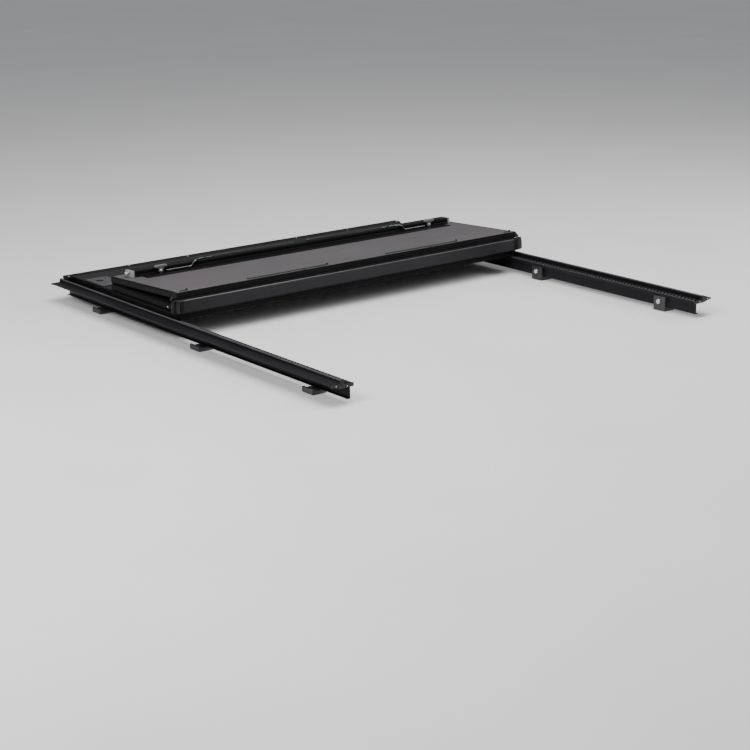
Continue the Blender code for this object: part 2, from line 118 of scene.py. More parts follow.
def mitred_ring(half_x, y_low, y_high, section):
    """A closed section in (inset, z), swept round a rectangle with mitred corners."""
    shape = bmesh.new()
    corners = ((-1, -1), (1, -1), (1, 1), (-1, 1))
    rings = []
    for sx, sy in corners:
        edge_y = y_high if sy > 0 else y_low
        rings.append([shape.verts.new((sx * (half_x - i), edge_y - sy * i, z)) for i, z in section])
    count = len(section)
    for c in range(4):
        here, there = rings[c], rings[(c + 1) % 4]
        for i in range(count):
            k = (i + 1) % count
            shape.faces.new((here[i], there[i], there[k], here[k]))
    bmesh.ops.recalc_face_normals(shape, faces=shape.faces)
    return shape


def slab(size, centre=(0, 0, 0)):
    shape = bmesh.new()
    bmesh.ops.create_cube(shape, size=1.0)
    bmesh.ops.scale(shape, vec=size, verts=shape.verts)
    bmesh.ops.translate(shape, vec=centre, verts=shape.verts)
    return shape


def soften(shape, width, segments=2, degrees=25):
    """Round the shape's sharp edges."""
    limit = math.radians(degrees)
    sharp = [e for e in shape.edges if len(e.link_faces) == 2 and e.calc_face_angle(0) > limit]
    bmesh.ops.bevel(
        shape, geom=sharp, offset=width, segments=segments, profile=0.5, affect="EDGES", clamp_overlap=True
    )
    return shape


def lathe(profile, steps=32):
    """A profile in (radius, z), from one end on the axis to the other, turned about z."""
    shape = bmesh.new()
    rings = []
    for radius, z in profile:
        if radius < 1e-7:
            rings.append([shape.verts.new((0, 0, z))])
            continue
        turn = [2 * math.pi * s / steps for s in range(steps)]
        rings.append([shape.verts.new((radius * math.cos(a), radius * math.sin(a), z)) for a in turn])
    for low, high in zip(rings, rings[1:]):
        for s in range(steps):
            k = (s + 1) % steps
            if len(low) == 1:
                shape.faces.new((low[0], high[k], high[s]))
            elif len(high) == 1:
                shape.faces.new((low[s], low[k], high[0]))
            else:
                shape.faces.new((low[s], low[k], high[k], high[s]))
    bmesh.ops.recalc_face_normals(shape, faces=shape.faces)
    return shape


def join(*shapes):
    """Several shapes in one, which may be separate or may touch."""
    whole = shapes[0]
    for other in shapes[1:]:
        mesh = bpy.data.meshes.new("joined")
        other.to_mesh(mesh)
        whole.from_mesh(mesh)
        other.free()
        bpy.data.meshes.remove(mesh)
    return whole


def moved(shape, matrix):
    """Transform a shape. A matrix that mirrors leaves its faces inside out."""
    bmesh.ops.transform(shape, matrix=matrix, verts=shape.verts)
    return shape


def arc(centre, radius, start, end, steps):
    """Points on an arc between two angles in degrees."""
    turn = [math.radians(start + (end - start) * s / steps) for s in range(steps + 1)]
    return [(centre[0] + radius * math.cos(a), centre[1] + radius * math.sin(a)) for a in turn]


def smooth_route(points, steps=6):
    """A Catmull-Rom curve through the points."""
    points = [Vector(p) for p in points]
    ends = [2 * points[0] - points[1], *points, 2 * points[-1] - points[-2]]
    route = []
    for p0, p1, p2, p3 in zip(ends, ends[1:], ends[2:], ends[3:]):
        for s in range(steps):
            t = s / steps
            cubic = -p0 + 3 * p1 - 3 * p2 + p3
            square = 2 * p0 - 5 * p1 + 4 * p2 - p3
            route.append((2 * p1 + (p2 - p0) * t + square * t * t + cubic * t ** 3) / 2)
    return [*route, points[-1]]


def rod(points, radius):
    """A round rod with softened ends along a route."""
    sides = 14
    shape = bmesh.new()
    rings = []
    for i, point in enumerate(points):
        ahead = points[min(i + 1, len(points) - 1)]
        behind = points[max(i - 1, 0)]
        along = (ahead - behind).normalized()
        across = along.cross(Vector((0, 0, 1)) if abs(along.z) < 0.9 else Vector((0, 1, 0))).normalized()
        other = along.cross(across)
        turn = [2 * math.pi * s / sides for s in range(sides)]
        spokes = [across * math.cos(a) + other * math.sin(a) for a in turn]
        rings.append([shape.verts.new(point + radius * spoke) for spoke in spokes])
    for low, high in zip(rings, rings[1:]):
        for s in range(sides):
            k = (s + 1) % sides
            shape.faces.new((low[s], low[k], high[k], high[s]))
    shape.faces.new(list(reversed(rings[0])))
    shape.faces.new(rings[-1])
    bmesh.ops.recalc_face_normals(shape, faces=shape.faces)
    return soften(shape, radius * 0.3, 2, 60)


def piece(name, shape, look, body, where=AT_WORLD, replaces=(), ride=True, sharp=32):
    """Turn a shape into a finished piece of the object that rides on a body."""
    moved(shape, where)
    mesh = bpy.data.meshes.new(name)
    shape.to_mesh(mesh)
    shape.free()
    looks = look if isinstance(look, (list, tuple)) else [look]
    for material in looks:
        mesh.materials.append(material)
    mesh.shade_smooth()
    mesh.set_sharp_from_angle(angle=math.radians(sharp))
    obj = bpy.data.objects.new(name, mesh)
    bpy.context.scene.collection.objects.link(obj)
    if ride:
        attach(obj, body)
    if replaces:
        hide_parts(*replaces)
    return obj


def across_x(where):
    """Maps an outline in (y, z) to a plane across x in the frame where."""
    return where @ Matrix(((0, 0, 1, 0), (1, 0, 0, 0), (0, 1, 0, 0), (0, 0, 0, 1)))


def across_y(side, x, y, z):
    """Maps an outline in (distance outwards, height) to a plane across y, on one side of the centreline."""
    return Matrix(((side, 0, 0, x), (0, 0, 1, y), (0, 1, 0, z), (0, 0, 0, 1)))


def turned_out(node, side):
    """Puts a lathed shape at the node's inner end, with its axis pointing away from the centreline."""
    low, high = lowest(node), highest(node)
    root = Vector((low.x if side > 0 else high.x, (low.y + high.y) / 2, (low.z + high.z) / 2))
    return Matrix.Translation(root) @ Matrix.Rotation(side * math.pi / 2, 4, "Y")


# ---------------- materials

class Nodes:
    """A short way to write a material's node tree."""

    def __init__(self, name):
        self.material = bpy.data.materials.new(name)
        self.material.use_nodes = True
        self.tree = self.material.node_tree
        self.shader = self.tree.nodes["Principled BSDF"]
        self.place = self.tree.nodes.new("ShaderNodeTexCoord").outputs["Object"]

    def add(self, kind, links=(), **values):
        node = self.tree.nodes.new(kind)
        for key, value in values.items():
            if key in node.inputs:
                node.inputs[key].default_value = value
            else:
                setattr(node, key, value)
        for socket, source in links:
            self.tree.links.new(source, node.inputs[socket])
        return node

    def stretched(self, scale):
        return self.add("ShaderNodeMapping", [("Vector", self.place)], Scale=scale).outputs["Vector"]

    def noise(self, scale, detail=3.0, vector=None):
        source = vector or self.place
        return self.add("ShaderNodeTexNoise", [("Vector", source)], Scale=scale, Detail=detail).outputs["Fac"]

    def spread(self, source, low, high, start=0.3, stop=0.7):
        """Map a value in start..stop to low..high."""
        node = self.add("ShaderNodeMapRange", [("Value", source)])
        for socket, value in zip(("From Min", "From Max", "To Min", "To Max"), (start, stop, low, high)):
            node.inputs[socket].default_value = value
        return node.outputs["Result"]

    def mix(self, factor, first, second):
        node = self.add("ShaderNodeMix", data_type="RGBA")
        self.tree.links.new(factor, node.inputs["Factor"])
        for socket, value in ((node.inputs[6], first), (node.inputs[7], second)):
            if isinstance(value, tuple):
                socket.default_value = (*value, 1.0)
            else:
                self.tree.links.new(value, socket)
        return node.outputs[2]

    def bump(self, height, strength, distance, normal=None):
        links = [("Height", height)]
        if normal:
            links.append(("Normal", normal))
        return self.add("ShaderNodeBump", links, Strength=strength, Distance=distance).outputs["Normal"]

    def edges(self, radius):
        """1 on a rounded-over edge and 0 on a flat, from how the bevelled normal departs from the true."""
        bent = self.add("ShaderNodeBevel", Radius=radius, samples=4).outputs["Normal"]
        true = self.add("ShaderNodeNewGeometry").outputs["Normal"]
        dot = self.add("ShaderNodeVectorMath", operation="DOT_PRODUCT")
        self.tree.links.new(bent, dot.inputs[0])
        self.tree.links.new(true, dot.inputs[1])
        return self.spread(dot.outputs["Value"], 1.0, 0.0, 0.80, 0.99)

    def finish(self, colour, roughness, normal=None, metallic=0.0, **values):
        shader = self.shader
        self.tree.links.new(colour, shader.inputs["Base Color"])
        self.tree.links.new(roughness, shader.inputs["Roughness"])
        if normal:
            self.tree.links.new(normal, shader.inputs["Normal"])
        shader.inputs["Metallic"].default_value = metallic
        for key, value in values.items():
            shader.inputs[key].default_value = value
        return self.material


def coated_extrusion(name, dark, light, roughness, along, shine=0.28):
    """Satin black powder coat on an extrusion: orange peel, faint die lines along it, and edges lightened
    partly as rubbed wear and partly as a painted highlight.
    """
    n = Nodes(name)
    stretch = [60.0, 60.0, 60.0]
    stretch[along] = 0.8
    lines = n.noise(6.0, 2.0, n.stretched(tuple(stretch)))
    cloud = n.noise(9.0, 4.0)
    peel = n.noise(1400.0, 2.0)
    tone = n.mix(n.spread(cloud, 0.0, 1.0), dark, light)
    # Edges lightened: partly rubbed wear, partly a painted highlight.
    rubbed_and_highlit_edges = n.mix(n.edges(0.0006), tone, tuple(2.6 * c + 0.008 for c in light))
    rough = n.spread(lines, roughness - 0.04, roughness + 0.05)
    normal = n.bump(peel, 0.25, 0.0002, n.bump(lines, 0.10, 0.0002))
    return n.finish(rubbed_and_highlit_edges, rough, normal, **{"Specular IOR Level": shine})


def grained(name, dark, light, roughness, grain, depth, metallic=0.0, strength=0.5, shine=0.3):
    """A fine pebbled surface with faint clouding."""
    n = Nodes(name)
    cloud = n.noise(7.0, 5.0)
    fine = n.noise(grain, 3.0)
    cells = n.add("ShaderNodeTexVoronoi", [("Vector", n.place)], Scale=grain * 0.8).outputs["Distance"]
    tone = n.mix(n.spread(cloud, 0.0, 1.0), dark, light)
    speckled = n.mix(n.spread(fine, 0.0, 0.35, 0.45, 0.75), tone, tuple(1.5 * c for c in light))
    rough = n.spread(cloud, roughness - 0.02, roughness + 0.03)
    normal = n.bump(cells, strength, depth, n.bump(fine, strength * 0.6, depth))
    return n.finish(speckled, rough, normal, metallic, **{"Specular IOR Level": shine})


def board_skin(name, dark, light, roughness):
    """Fibre-reinforced sheet: a fine crossed weave, soft clouding and a few handling smears."""
    n = Nodes(name)
    cloud = n.noise(3.5, 5.0)
    smear = n.noise(5.0, 6.0, n.stretched((1.0, 4.0, 1.0)))
    grain = n.noise(2200.0, 2.0)
    warp = n.add("ShaderNodeTexWave", [("Vector", n.place)], Scale=220.0, Distortion=1.5, bands_direction="X")
    weft = n.add("ShaderNodeTexWave", [("Vector", n.place)], Scale=220.0, Distortion=1.5, bands_direction="Y")
    weave = n.add("ShaderNodeMath", operation="MULTIPLY")
    n.tree.links.new(warp.outputs["Fac"], weave.inputs[0])
    n.tree.links.new(weft.outputs["Fac"], weave.inputs[1])
    tone = n.mix(n.spread(cloud, 0.0, 1.0), dark, light)
    smeared = n.mix(n.spread(smear, 0.0, 0.35, 0.55, 0.8), tone, tuple(1.25 * c for c in light))
    fine = n.mix(n.spread(grain, 0.0, 0.25, 0.4, 0.7), smeared, tuple(0.7 * c for c in dark))
    rough = n.spread(smear, roughness + 0.04, roughness - 0.04)
    normal = n.bump(grain, 0.25, 0.0002, n.bump(weave.outputs["Value"], 0.18, 0.0002))
    return n.finish(fine, rough, normal, **{"Specular IOR Level": 0.16})


def rubber_look(name, tone, roughness, coat=0.0, shine=0.4):
    n = Nodes(name)
    cloud = n.noise(30.0, 4.0)
    fine = n.noise(900.0, 3.0)
    dust = n.noise(60.0, 6.0)
    base = n.mix(n.spread(cloud, 0.0, 1.0), tone, tuple(1.5 * c for c in tone))
    dusty = n.mix(n.spread(dust, 0.0, 0.10, 0.5, 0.8), base, tuple(2.5 * c for c in tone))
    rough = n.spread(cloud, roughness - 0.07, roughness + 0.08)
    looks = {"Coat Weight": coat, "Coat Roughness": 0.2, "Specular IOR Level": shine}
    return n.finish(dusty, rough, n.bump(fine, 0.3, 0.0002), 0.0, **looks)


def brushed_steel(name, along, dark=(0.62, 0.62, 0.63), light=(0.80, 0.80, 0.79), roughness=0.18):
    n = Nodes(name)
    stretch = [900.0, 900.0, 900.0]
    stretch[along] = 12.0
    lines = n.noise(1.0, 3.0, n.stretched(tuple(stretch)))
    cloud = n.noise(40.0, 4.0)
    tone = n.mix(n.spread(cloud, 0.0, 1.0), dark, light)
    rough = n.spread(lines, roughness, roughness + 0.18)
    return n.finish(tone, rough, n.bump(lines, 0.12, 0.0001), 1.0)


RAIL = coated_extrusion("rail_powder_coat", (0.0062, 0.0056, 0.0076), (0.0100, 0.0090, 0.0120), 0.46, 1, 0.15)
# Lighter grey for the rail's ridge crown, inner lip and ledge ribs: a painted highlight line.
RAIL_PAINTED_HIGHLIGHT = coated_extrusion("rail_painted_highlight", (0.045, 0.045, 0.046), (0.065, 0.065, 0.066), 0.40, 1)
FRAME_X = coated_extrusion("bar_powder_coat", (0.0028, 0.0028, 0.003), (0.005, 0.005, 0.0055), 0.50, 0, 0.10)
FRAME = coated_extrusion("frame_powder_coat", (0.003, 0.003, 0.0033), (0.0055, 0.0055, 0.006), 0.50, 0, 0.10)
TEXTURED = grained("textured_black", (0.0066, 0.0050, 0.0074), (0.0105, 0.0082, 0.0112), 0.56, 700.0, 0.0004)
UNDERSIDE = board_skin("grey_board_skin", (0.076, 0.069, 0.073), (0.091, 0.083, 0.087), 0.64)
TOP_SKIN = grained("black_top_skin", (0.007, 0.007, 0.0075), (0.011, 0.011, 0.0115), 0.58, 800.0, 0.0003,
                   shine=0.2)
RUBBER = rubber_look("matt_rubber", (0.0035, 0.0035, 0.0038), 0.60, shine=0.15)
GLOSSY_RUBBER = rubber_look("smooth_rubber", (0.0028, 0.0027, 0.0030), 0.34, 0.12, 0.25)
# Light grey rubber for the bead and the spacer face's top strip: a painted highlight line.
BEAD_PAINTED_HIGHLIGHT = rubber_look("bead_painted_highlight", (0.046, 0.044, 0.046), 0.34, 0.3)
NYLON = grained("black_nylon", (0.008, 0.008, 0.0085), (0.013, 0.013, 0.0135), 0.40, 1100.0, 0.0002)
# Mid grey for the black levers: painted highlight.
LEVER_PAINTED_HIGHLIGHT = grained("lever_nylon_painted_highlight", (0.110, 0.104, 0.106), (0.160, 0.152, 0.155), 0.24, 1100.0, 0.0001,
                      shine=0.8)
GREY_NYLON = grained("grey_nylon", (0.20, 0.195, 0.198), (0.25, 0.245, 0.248), 0.48, 1100.0, 0.0002,
                     strength=0.25)
PLATE = grained("plate_powder_coat", (0.034, 0.032, 0.034), (0.048, 0.046, 0.048), 0.42, 900.0, 0.0002)
FOAM = grained("foam", (0.014, 0.014, 0.014), (0.024, 0.024, 0.024), 0.9, 420.0, 0.0012, strength=0.9)
CAST = grained("cast_metal", (0.045, 0.045, 0.048), (0.075, 0.075, 0.078), 0.45, 600.0, 0.0004, 0.7)
STEEL_X = brushed_steel("zinc_steel", 0)
ROD_STEEL = brushed_steel("rod_steel", 0, (0.13, 0.13, 0.132), (0.22, 0.22, 0.22), 0.16)
STEEL_TURNED = brushed_steel("turned_steel", 2)


# ---------------- side rails

def notch(centre, level, width, depth):
    """A small groove in a level surface that runs towards the centreline."""
    half = width / 2
    return [
        (centre + half, level), (centre + half * 0.6, level - depth),
        (centre - half * 0.6, level - depth), (centre - half, level),
    ]


def rail_section():
    flange_z = -0.012
    ledge_z = -0.020
    wall = 0.0025
    ridge = RIDGE_U
    drop = DROP_U
    flange_low = flange_z - wall
    ledge_low = ledge_z - wall
    foot = -0.060
    points = [(OUTER_U, flange_low), (OUTER_U, flange_z)]
    for step in range(4):
        points += notch(OUTER_U - 0.007 - 0.0065 * step, flange_z, 0.0022, 0.0008)
    points += [(ridge + 0.004, flange_z), (ridge + 0.002, flange_z + 0.002), (ridge + 0.002, -0.0042)]
    points += [(ridge + 0.0032, -0.003), *arc((ridge, -0.0028), 0.0028, 0, 180, 8), (ridge - 0.0032, -0.003)]
    points += [(ridge - 0.002, -0.0042), (ridge - 0.002, ledge_z)]
    for centre in (0.7435, 0.7395):
        half = 0.0006
        points += [(centre + half, ledge_z), (centre + half, ledge_z + 0.0015)]
        points += [(centre - half, ledge_z + 0.0015), (centre - half, ledge_z)]
    rib = LIP_U + 0.002
    points += [(0.7210, ledge_z), (0.7206, ledge_z + 0.0022), (0.7192, ledge_z + 0.0022), (0.7188, ledge_z)]
    points += [(rib, ledge_z), (rib, ledge_z + 0.0052), (rib - 0.0006, ledge_z + 0.006)]
    points += [(LIP_U + 0.0006, ledge_z + 0.006), (LIP_U, ledge_z + 0.0052), (LIP_U, ledge_low)]
    points += [(drop, ledge_low)]
    for level in (-0.030, -0.036, -0.042, -0.048):
        groove = drop + 0.0007
        points += [(drop, level), (groove, level - 0.0008), (groove, level - 0.0016), (drop, level - 0.0024)]
    points += [(drop, foot), (drop + 0.011, foot), (drop + 0.011, foot + wall), (drop + wall, foot + wall)]
    points += [(drop + wall, ledge_low), (ridge + 0.002, ledge_low), (ridge + 0.002, flange_low)]
    return points


def bulb_section(low, top):
    centre = 0.730
    radius = 0.0048
    neck = top - radius
    foot = 0.0058
    return [
        (centre + foot, low), (centre + foot, low + 0.0012), *arc((centre, neck), radius, -20, 200, 14),
        (centre - foot, low + 0.0012), (centre - foot, low),
    ]


def build_rails():
    length = highest("side_rail_right").y - lowest("side_rail_right").y
    seal_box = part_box("rail_seal_right")
    seal_mid = (seal_box[0][1] + seal_box[1][1]) / 2
    seal_length = seal_box[1][1] - seal_box[0][1]
    bulb = bulb_section(seal_box[0][2] - RIDGE_Z, seal_box[1][2] - RIDGE_Z)
    for word, side in SIDES:
        rail = soften(prism(rail_section(), length), 0.0003, 2, 40)
        for face in rail.faces:
            middle = face.calc_center_median()
            crown = middle.y > -0.0032
            lip = middle.x < LIP_U + 0.0019 and middle.y > -0.0152
            # Crown and lip faces take the lighter look, which paints their highlight lines.
            face.material_index = 1 if crown or lip else 0
        piece("rail_extrusion_" + word, rail, [RAIL, RAIL_PAINTED_HIGHLIGHT], "rails",
              across_y(side, 0, 0, RIDGE_Z), ["side_rail_" + word])
        seal = prism(bulb, seal_length)
        piece("rail_bulb_seal_" + word, seal, RUBBER, "rails",
              across_y(side, 0, seal_mid, RIDGE_Z), ["rail_seal_" + word])
        build_ledge_ribs(word, side, seal_box[0][1], seal_box[1][1])


def build_ledge_ribs(word, side, start, end):
    """A row of small cross ribs on the rail's ledge, beside its inner lip, in the lighter grey that paints
    their highlight.
    """
    pitch = 0.015
    ribs = []
    for step in range(int((end - start) / pitch)):
        y = start + pitch * (step + 0.5)
        ribs.append(slab((0.0104, 0.0030, 0.0072), (0.7188, y, -0.0162)))
    turn = Matrix(((side, 0, 0, 0), (0, 1, 0, 0), (0, 0, 1, RIDGE_Z), (0, 0, 0, 1)))
    shape = soften(join(*ribs), 0.0005, 1, 40)
    piece("ledge_ribs_" + word, shape, RAIL_PAINTED_HIGHLIGHT, "rails", turn)


def cap_section():
    return [
        (LIP_U - 0.0015, -0.024), (DROP_U - 0.0005, -0.024), (DROP_U + 0.0005, -0.024),
        (RIDGE_U + 0.004, -0.024), (OUTER_U - 0.004, -0.0172), (OUTER_U + 0.001, -0.0165),
        *arc((OUTER_U - 0.002, -0.014), 0.003, 0, 90, 4), (RIDGE_U + 0.008, -0.011),
        *arc((RIDGE_U, -0.0045), 0.0056, 0, 180, 12), (RIDGE_U - 0.008, -0.013),
        *arc((LIP_U + 0.0015, -0.016), 0.003, 90, 180, 4),
    ]


def build_rail_ends():
    for word, side in SIDES:
        for end in ("tail", "cab"):
            node = f"rail_end_cap_{word}_{end}"
            low, high = lowest(node), highest(node)
            shape = soften(prism(cap_section(), high.y - low.y), 0.0009, 3, 30)
            piece(f"rail_cap_{word}_{end}", shape, NYLON, "rails",
                  across_y(side, 0, (low.y + high.y) / 2, RIDGE_Z), [node])
            outward = -1 if end == "tail" else 1
            face_y = low.y if end == "tail" else high.y
            for u, z in ((0.772, -0.0140), (0.7335, -0.0190)):
                where = Matrix.Translation((side * u, face_y - outward * 0.0004, RIDGE_Z + z))
                where = where @ Matrix.Rotation(-outward * math.pi / 2, 4, "X")
                name = f"rail_cap_screw_{word}_{end}_{'outer' if u > RIDGE_U else 'inner'}"
                piece(name, pan_head(0.0017, 0.0009), STEEL_TURNED, "rails", where)


def pan_head(radius, height):
    """A small domed screw head with a cross recess cut in its crown, standing on z = 0."""
    dome = [(radius * math.sin(a), height * (0.35 + 0.65 * math.cos(a))) for a in
            (math.radians(90 - 15 * s) for s in range(7))]
    shape = lathe([(0, -height), (radius, -height), *dome[:-1], (0, height)], 24)
    for turn in (0, math.pi / 2):
        groove = slab((radius * 1.1, radius * 0.22, height * 0.12), (0, 0, height))
        shape = join(shape, moved(groove, Matrix.Rotation(turn, 4, "Z")))
    return shape


build_rails()
build_rail_ends()


# ---------------- panels

def frame_section(low):
    """The frame bar in (inset, z): two grooves down its outer side and a lip over the board on both faces."""
    top = low + PANEL_T
    recess = 0.0012
    groove = 0.0013
    return [
        (0.0, low + 0.0010), (0.0, low + 0.0055), (groove, low + 0.0063), (groove, low + 0.0083),
        (0.0, low + 0.0091), (0.0, low + 0.0129), (groove, low + 0.0137), (groove, low + 0.0157),
        (0.0, low + 0.0165), (0.0, top - 0.0010), (0.0010, top), (0.0040, top), (0.0045, top - 0.0005),
        (0.0055, top - 0.0005), (0.0060, top), (FRAME_W - 0.0010, top), (FRAME_W, top - recess),
        (FRAME_W, low + recess), (FRAME_W - 0.0010, low), (0.0010, low),
    ]


def skin_sheet(y_low, y_high, level, look, name, body, where):
    """A thin sheet over the board and its frame, which stops just short of the panel's edges."""
    margin = 0.0036
    size = (2 * (HALF_WIDTH - margin), y_high - y_low - 2 * margin, 0.0012)
    sheet = slab(size, (0, (y_low + y_high) / 2, level))
    bmesh.ops.subdivide_edges(sheet, edges=sheet.edges[:], cuts=3, use_grid_fill=True)
    piece(name, soften(sheet, 0.0003, 1, 40), look, body, where)


def build_panel(number, body, where, top_up):
    """One panel in its body's frame: grooved bars, a board between them and a skin on each face."""
    inverse = where.inverted()
    frame_node = f"panel_{number}_frame"
    corners = [inverse @ Vector(v.co) for v in frame["nodes"][frame_node].data.vertices]
    y_low, y_high = min(c.y for c in corners), max(c.y for c in corners)
    low = min(c.z for c in corners)
    bars = mitred_ring(HALF_WIDTH, y_low, y_high, frame_section(low))
    bars = soften(bars, 0.00025, 1, 40)
    piece(f"panel_{number}_bars", bars, FRAME, body, where, [frame_node])
    inset = 2 * (FRAME_W + GAP)
    size = (2 * HALF_WIDTH - inset, y_high - y_low - inset, PANEL_T - 0.0024)
    board = slab(size, (0, (y_low + y_high) / 2, low + PANEL_T / 2))
    piece(f"panel_{number}_core", board, RUBBER, body, where, [f"panel_{number}_board"])
    sink = 0.0006 - 0.00022
    upper, lower = (TOP_SKIN, UNDERSIDE) if top_up else (UNDERSIDE, TOP_SKIN)
    skin_sheet(y_low, y_high, low + PANEL_T - sink, upper, f"panel_{number}_skin_high", body, where)
    skin_sheet(y_low, y_high, low + sink, lower, f"panel_{number}_skin_low", body, where)
    return y_low, y_high, low


def build_side_seals(number, body, where, y_low, y_high, low):
    """A soft lip along each side of a panel, which closes the gap to the rail's ridge."""
    start = HALF_WIDTH + GAP
    lip = [
        (0, 0.0024), (0.0012, 0.0022), (0.0022, 0.0034), (0.0029, 0.0060), (0.0024, 0.0085), (0.0021, 0.0110),
        (0.0024, 0.0135), (0.0029, 0.0160), (0.0022, 0.0186), (0.0012, 0.0198), (0, 0.0196),
    ]
    for word, side in SIDES:
        shape = prism(lip, y_high - y_low)
        turn = across_y(side, side * start, (y_low + y_high) / 2, low)
        piece(f"panel_{number}_lip_{word}", shape, RUBBER, body, where @ turn,
              [f"panel_{number}_side_seal_{word}"])


def ribbon(path, thickness):
    """The outline of a strip of even thickness round a line of (y, z) points."""
    left, right = [], []
    for i, point in enumerate(path):
        ahead = path[min(i + 1, len(path) - 1)]
        behind = path[max(i - 1, 0)]
        along = Vector((ahead[0] - behind[0], ahead[1] - behind[1])).normalized()
        across = Vector((-along.y, along.x)) * thickness / 2
        left.append((point[0] + across.x, point[1] + across.y))
        right.append((point[0] - across.x, point[1] - across.y))
    return left + list(reversed(right))


def hinge_strip(letter, path, centre, bodies):
    """A flexible strip over a hinge line, which rides on its body where there is one; where there are two it
    is left fixed in place and does not bend.
    """
    smooth = [(p.x, p.y) for p in smooth_route([(y, z, 0) for y, z in path], 4)]
    shape = prism(ribbon(smooth, 0.0008), 2 * HALF_WIDTH - 0.001)
    where = across_x(Matrix.Translation(centre))
    name = "hinge_strip_" + letter
    strip = piece(name, shape, RUBBER, bodies[0], where, ["hinge_rubber_" + letter],
                  ride=len(bodies) == 1, sharp=50)
    if len(bodies) == 2:
        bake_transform(strip)


def build_hinge_strips():
    flat = 0.0005
    reach = 0.0105
    slope = [(d * math.cos(TILT) - flat * math.sin(TILT), -d * math.sin(TILT) - flat * math.cos(TILT))
             for d in (0.0036, 0.007, reach)]
    hinge_strip("a", [(reach, flat), (0.007, flat), (0.0036, flat), (0.0013, 0.0013), (flat, 0.0036),
                      (flat, 0.007), (flat, reach)],
                axis_of("fold_a_spacer"), ("panel_2", "spacer"))
    hinge_strip("b", [(flat, -reach), (flat, -0.007), (flat, -0.0036), (0.0013, -0.0013), *slope],
                axis_of("fold_b_panel_3"), ("spacer", "panel_3"))
    low = flat - KNUCKLE_RISE
    hinge_strip("d", [(d, low) for d in (reach, 0.006, 0.002, 0, -0.002, -0.006, -reach)],
                axis_of("stack_lift"), ("rails", "panel_2"))
    loop = 0.0011
    rise = reach * math.sin(TILT)
    hinge_strip("c", [(-reach, loop + rise), (-0.005, loop + rise / 2), (-0.0005, loop), (0.0010, 0.0),
                      (-0.0005, -loop), (-0.005, -loop), (-reach, -loop)],
                REST_HINGE_C, ("panel_3",))


def build_bumpers():
    """Low round pads on panel 2, which panel 4 lies on."""
    for word, side in SIDES:
        for row, y in (("rear", 0.16), ("middle", 0.31), ("front", 0.45)):
            profile = [(0, 0.0), (0.009, 0.0), (0.0092, 0.0008), (0.0084, 0.0015), (0, 0.0016)]
            place = Matrix.Translation((side * 0.60, y, PANEL_TOP - 0.0012))
            piece(f"stack_pad_{word}_{row}", lathe(profile), RUBBER, "panel_2", place)


# ---------------- spacer and its ends

def build_spacer():
    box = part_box("spacer_bar")
    inverse = AT_SPACER.inverted()
    low, high = inverse @ Vector(box[0]), inverse @ Vector(box[1])
    back, face = high.y, low.y
    panel = 0.0006
    outline = [
        (back, low.z), (face + 0.0012, low.z), (face, low.z + 0.0010), (face, low.z + 0.0022),
        (face + panel, low.z + 0.0028), (face + panel, high.z - 0.0036), (face, high.z - 0.0030),
        (face, high.z - 0.0012), (face + 0.0014, high.z),
        (face + 0.0050, high.z), (face + 0.0056, high.z - 0.0005), (face + 0.0066, high.z - 0.0005),
        (face + 0.0072, high.z), (back, high.z),
    ]
    shape = soften(prism(outline, high.x - low.x), 0.00025, 2, 30)
    middle_z = (low.z + high.z) / 2
    for part in shape.faces:
        middle = part.calc_center_median()
        on_face = middle.x < face + 0.0013
        # The face's top strip takes the light bead look, a painted highlight line.
        if on_face and middle.y > high.z - 0.0034:
            part.material_index = 2
        elif on_face and abs(middle.y - middle_z) < 0.019:
            part.material_index = 1
    piece("spacer_extrusion", shape, [FRAME_X, TEXTURED, BEAD_PAINTED_HIGHLIGHT], "spacer",
          across_x(AT_SPACER), ["spacer_bar"])
    for word, side in SIDES:
        for name, look, x, width in (("cuff", RUBBER, HALF_WIDTH - 0.0072, 0.0128),
                                     ("line", GLOSSY_RUBBER, HALF_WIDTH - 0.0160, 0.0022)):
            plate = slab((width, 0.0016, high.z - low.z - 0.0012), (side * x, face + 0.0004, middle_z))
            plate = soften(plate, 0.0005, 3)
            piece(f"spacer_{name}_{word}", plate, look, "spacer", AT_SPACER)
        build_end_roll(word, side)


def rolled_end(bulge, height, inset):
    """Half of an end section in (reach, z): full at the foot, then in like a quarter of an ellipse."""
    steps = 24
    foot = 0.006
    over = 0.0034
    rise = height + PANEL_T
    points = [(0, -height / 2 + inset)]
    points += arc((bulge - inset - foot, -height / 2 + foot + inset), foot, -90, 0, 6)
    for s in range(1, steps + 1):
        z = foot + (height + over - foot - inset) * s / steps
        points.append(((bulge - inset) * math.sqrt(1 - ((z - foot) / rise) ** 2), z - height / 2))
    points.append((0, height / 2 + over - inset))
    return points


def build_end_roll(word, side):
    """The spacer's rubber end: three rolled lips, the first short enough to pass the rail's ridge."""
    node = "spacer_end_cap_" + word
    low, high = AT_SPACER.inverted() @ lowest(node), AT_SPACER.inverted() @ highest(node)
    mid_z = (low.z + high.z) / 2
    face = (AT_SPACER.inverted() @ lowest("spacer_bar")).y
    bulge = high.x - low.x
    past_ridge = 0.0100
    width = (high.y - face) / 3
    start = side * (HALF_WIDTH + GAP)
    shapes = []
    for lip, (reach, inset) in enumerate(((bulge - past_ridge, 0.0010), (bulge, 0.0), (bulge, 0.0020))):
        layer = soften(prism(rolled_end(reach, high.z - low.z, inset), width), width * 0.40, 4, 40)
        y = face + width * (lip + 0.5)
        shapes.append(moved(layer, across_y(side, start, y, mid_z)))
    piece("spacer_roll_" + word, join(*shapes), GLOSSY_RUBBER, "spacer", AT_SPACER, [node])


